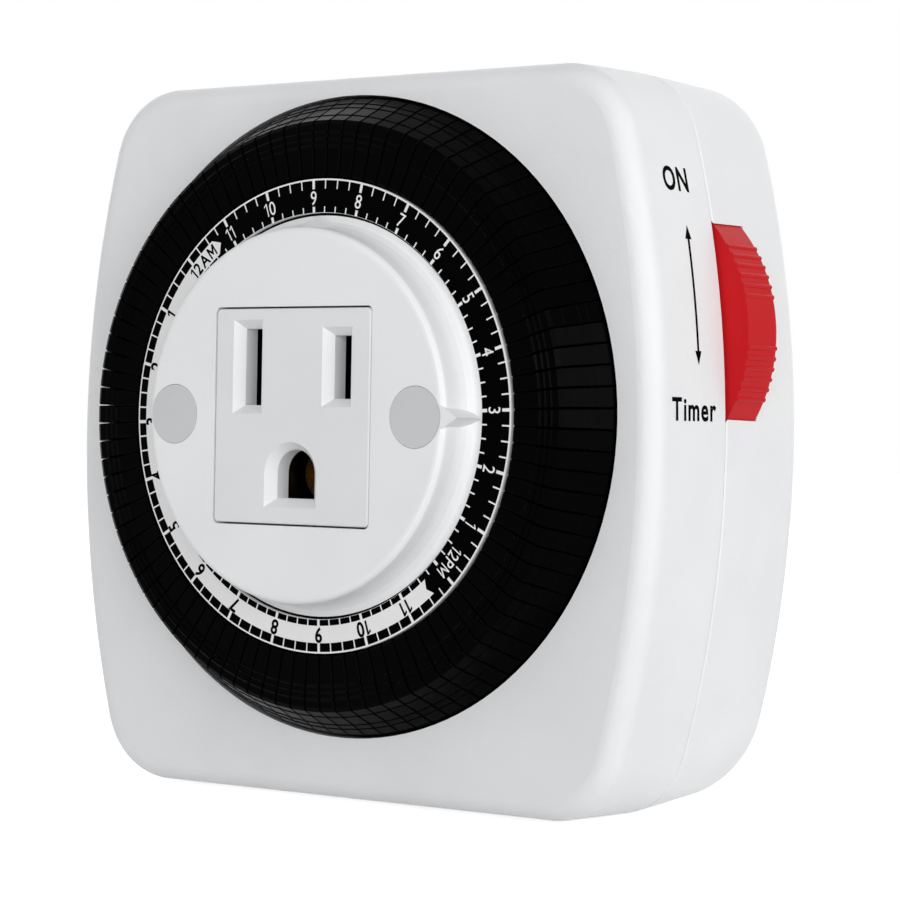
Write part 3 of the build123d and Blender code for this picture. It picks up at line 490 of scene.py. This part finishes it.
def add_dial_print():
    """Number ring: black cells between white ticks, a black half from noon on, and the hours.

    A tick takes half its width from each of the two cells beside it; every fourth marks an hour.
    """
    dark, light = [], []
    for k in range(PINS):
        start = DIAL_TURN + k * PIN_STEP
        ticks = [QUARTER_TICK if i % 4 else HOUR_TICK for i in (k, k + 1)]
        for inner, outer in CELL_RINGS:
            before, after = (math.degrees(tick / (inner + outer)) for tick in ticks)
            dark.append(ring_cell(inner, outer, start + before, start + PIN_STEP - after))
    dark.append(half_band(*BAND_RING, BAND_RIMS, BAND_MIDDLE))
    for hour in [h for h in range(1, 24) if h != 12]:
        at = DIAL_TURN + (hour - HOUR_AT_ZERO) * HOUR_STEP
        if hour > 12:
            light.append(number(str(hour - 12), at, *EVENING))
        else:
            dark.append(number(str(hour), at, *MORNING))
    dark.append(number("12AM", DIAL_TURN + MIDNIGHT_AT, *MIDNIGHT))
    light.append(number("12PM", DIAL_TURN + NOON_AT, *NOON))
    print_layer("dial_print_black", dark, BLACK_FILM, "black_ink")
    print_layer("dial_print_white", light, WHITE_FILM, "white_ink")


def side_x(y, z):
    """Outer side of the front shell: its half width, less the sagitta of the bow.

    The half width grows evenly from the front to the seam.
    """
    share = (y - Y_FRONT) / (Y_SEAM - SEAM_GAP - Y_FRONT)
    half = HALF_FRONT + (HALF_SEAM - HALF_FRONT) * share
    return half - (SIDE_BOW_R - np.sqrt(SIDE_BOW_R**2 - (z - CASE_Z) ** 2))


def double_arrow(y, low, high, count=12):
    """Upright arrow with a head on each end, as flat faces (y, z); its shaft bends with the side."""
    head, inset = ARROW_HEAD, ARROW_HEAD * SHAFT_IN_HEAD
    rows = np.linspace(low + inset, high - inset, count)
    line = np.column_stack((np.repeat((y - SHAFT_HALF, y + SHAFT_HALF), count), np.tile(rows, 2)))
    foot = np.array([(y, low), (y + HEAD_HALF, low + head), (y - HEAD_HALF, low + head)])
    tip = np.array([(y, high), (y - HEAD_HALF, high - head), (y + HEAD_HALF, high - head)])
    strip = [(k, count + k, count + k + 1, k + 1) for k in range(count - 1)]
    return joined([(line, strip), (foot, [(0, 1, 2)]), (tip, [(0, 1, 2)])])


def add_side_print():
    """Words and arrow printed on the side, laid on the bowed surface."""
    parts = []
    for text, height, squeeze, back, foot in SIDE_WORDS:
        flat, faces = lettering(text, height, squeeze, SIDE_WEIGHT)
        parts.append((flat + (Y_FRONT + back, DIAL_Z + foot), faces))
    parts.append(double_arrow(Y_FRONT + ARROW_BACK, DIAL_Z + ARROW_LOW, DIAL_Z + ARROW_HIGH))
    flat, faces = joined(parts)
    points = np.column_stack((side_x(flat[:, 0], flat[:, 1]) + SIDE_FILM, flat))
    film(piece("side_print", points, faces, "case", "black_ink", "white_case"), SIDE_FILM)


# --- light and floor -----------------------------------------------------------------------------

LAMP_AIM = Vector((0, -16, -8)) * MM     # middle of the case
# Name, azimuth and elevation in degrees, distance and side in metres, and power in watts
LAMPS = (
    ("front_right", 25, 10, 1.20, 0.60, 2.6),
    ("right", 48, 2, 1.20, 0.60, 2.6),
    ("side", 78, 12, 0.75, 0.45, 1.9),
    ("left_front", -45, 25, 0.80, 0.50, 0.45),
    ("left_back", -120, 30, 0.90, 0.70, 1.3),
    ("behind", -172, 20, 1.20, 0.80, 2.4),
    ("dial_accent", 29, 13, 0.75, 0.03, 0.12),
)
FLOOR_LIFT, ROOM_LIGHT = 0.80, 0.29      # glow of the floor where it is seen, and the room's light
FLOOR_HALF, FLOOR_GAP, FLOOR_CLOUD_MM = 3.0, 0.0002, 60
FLOOR_ROUGH, FLOOR_GLOSS = 0.8, 0.2
WHITE = (1, 1, 1, 1)


def add_light(name, azimuth, elevation, distance, size, power):
    """Soft square lamp aimed at the case; azimuth 0 stands in front, 90 on the rocker's side."""
    data = bpy.data.lights.new(name, "AREA")
    data.shape, data.size, data.energy = "SQUARE", size, power
    obj = bpy.data.objects.new(name, data)
    turn, rise = math.radians(azimuth), math.radians(elevation)
    flat = math.cos(rise)
    away = Vector((math.sin(turn) * flat, -math.cos(turn) * flat, math.sin(rise)))
    obj.location = LAMP_AIM + away * distance
    obj.rotation_euler = away.to_track_quat("Z", "Y").to_euler()
    bpy.context.scene.collection.objects.link(obj)


def seen_ray(tree):
    """1 for rays from the camera, a mirror or glass, and 0 for light that falls on things."""
    path = node(tree, "ShaderNodeLightPath")
    either = {"operation": "MAXIMUM"}
    glossy = node(tree, "ShaderNodeMath", either, i0=path.outputs["Is Camera Ray"],
                  i1=path.outputs["Is Glossy Ray"])
    seen = node(tree, "ShaderNodeMath", either, i0=glossy.outputs["Value"],
                i1=path.outputs["Is Transmission Ray"])
    return seen.outputs["Value"]


def add_floor():
    """Pale floor under the case, lifted to white where it is seen; it keeps the shadow."""
    half, z = FLOOR_HALF, cad_box[0][2] - FLOOR_GAP
    data = bpy.data.meshes.new("floor")
    corners = [(-half, -half, z), (half, -half, z), (half, half, z), (-half, half, z)]
    data.from_pydata(corners, [], [(0, 1, 2, 3)])
    floor = bpy.data.objects.new("floor", data)
    bpy.context.scene.collection.objects.link(floor)
    made, tree, shader, place = surface("pale_floor")
    cloud = node(tree, "ShaderNodeTexNoise", Vector=place, Scale=per_mm(FLOOR_CLOUD_MM), Detail=2.0)
    base = ramp(tree, cloud.outputs["Fac"], [(0.3, "#F0F0F0"), (0.7, "#F3F3F3")])
    tree.links.new(base, shader.inputs["Base Color"])
    shader.inputs["Roughness"].default_value = FLOOR_ROUGH
    shader.inputs["Specular IOR Level"].default_value = FLOOR_GLOSS
    lift = node(tree, "ShaderNodeMath", {"operation": "MULTIPLY"}, i0=seen_ray(tree), i1=FLOOR_LIFT)
    glow = node(tree, "ShaderNodeEmission", Color=WHITE, Strength=lift.outputs["Value"])
    both = node(tree, "ShaderNodeAddShader", i0=shader.outputs["BSDF"], i1=glow.outputs["Emission"])
    tree.links.new(both.outputs["Shader"], tree.nodes["Material Output"].inputs["Surface"])
    data.materials.append(made)


def add_world():
    """Even room light; the background is white where it is seen."""
    world = bpy.data.worlds.new("studio")
    world.use_nodes = True
    tree = world.node_tree
    room = tree.nodes["Background"]
    room.inputs["Color"].default_value = WHITE
    room.inputs["Strength"].default_value = ROOM_LIGHT
    white = node(tree, "ShaderNodeBackground", Color=WHITE, Strength=1.0)
    mixed = node(tree, "ShaderNodeMixShader", i0=seen_ray(tree), i1=room.outputs["Background"],
                 i2=white.outputs["Background"])
    tree.links.new(mixed.outputs["Shader"], tree.nodes["World Output"].inputs["Surface"])
    bpy.context.scene.world = world


dress_nodes()
add_pins()
add_dial_print()
add_side_print()
add_camera()
add_floor()
add_world()
for lamp in LAMPS:
    add_light(*lamp)
bpy.context.scene.view_settings.view_transform = "Standard"
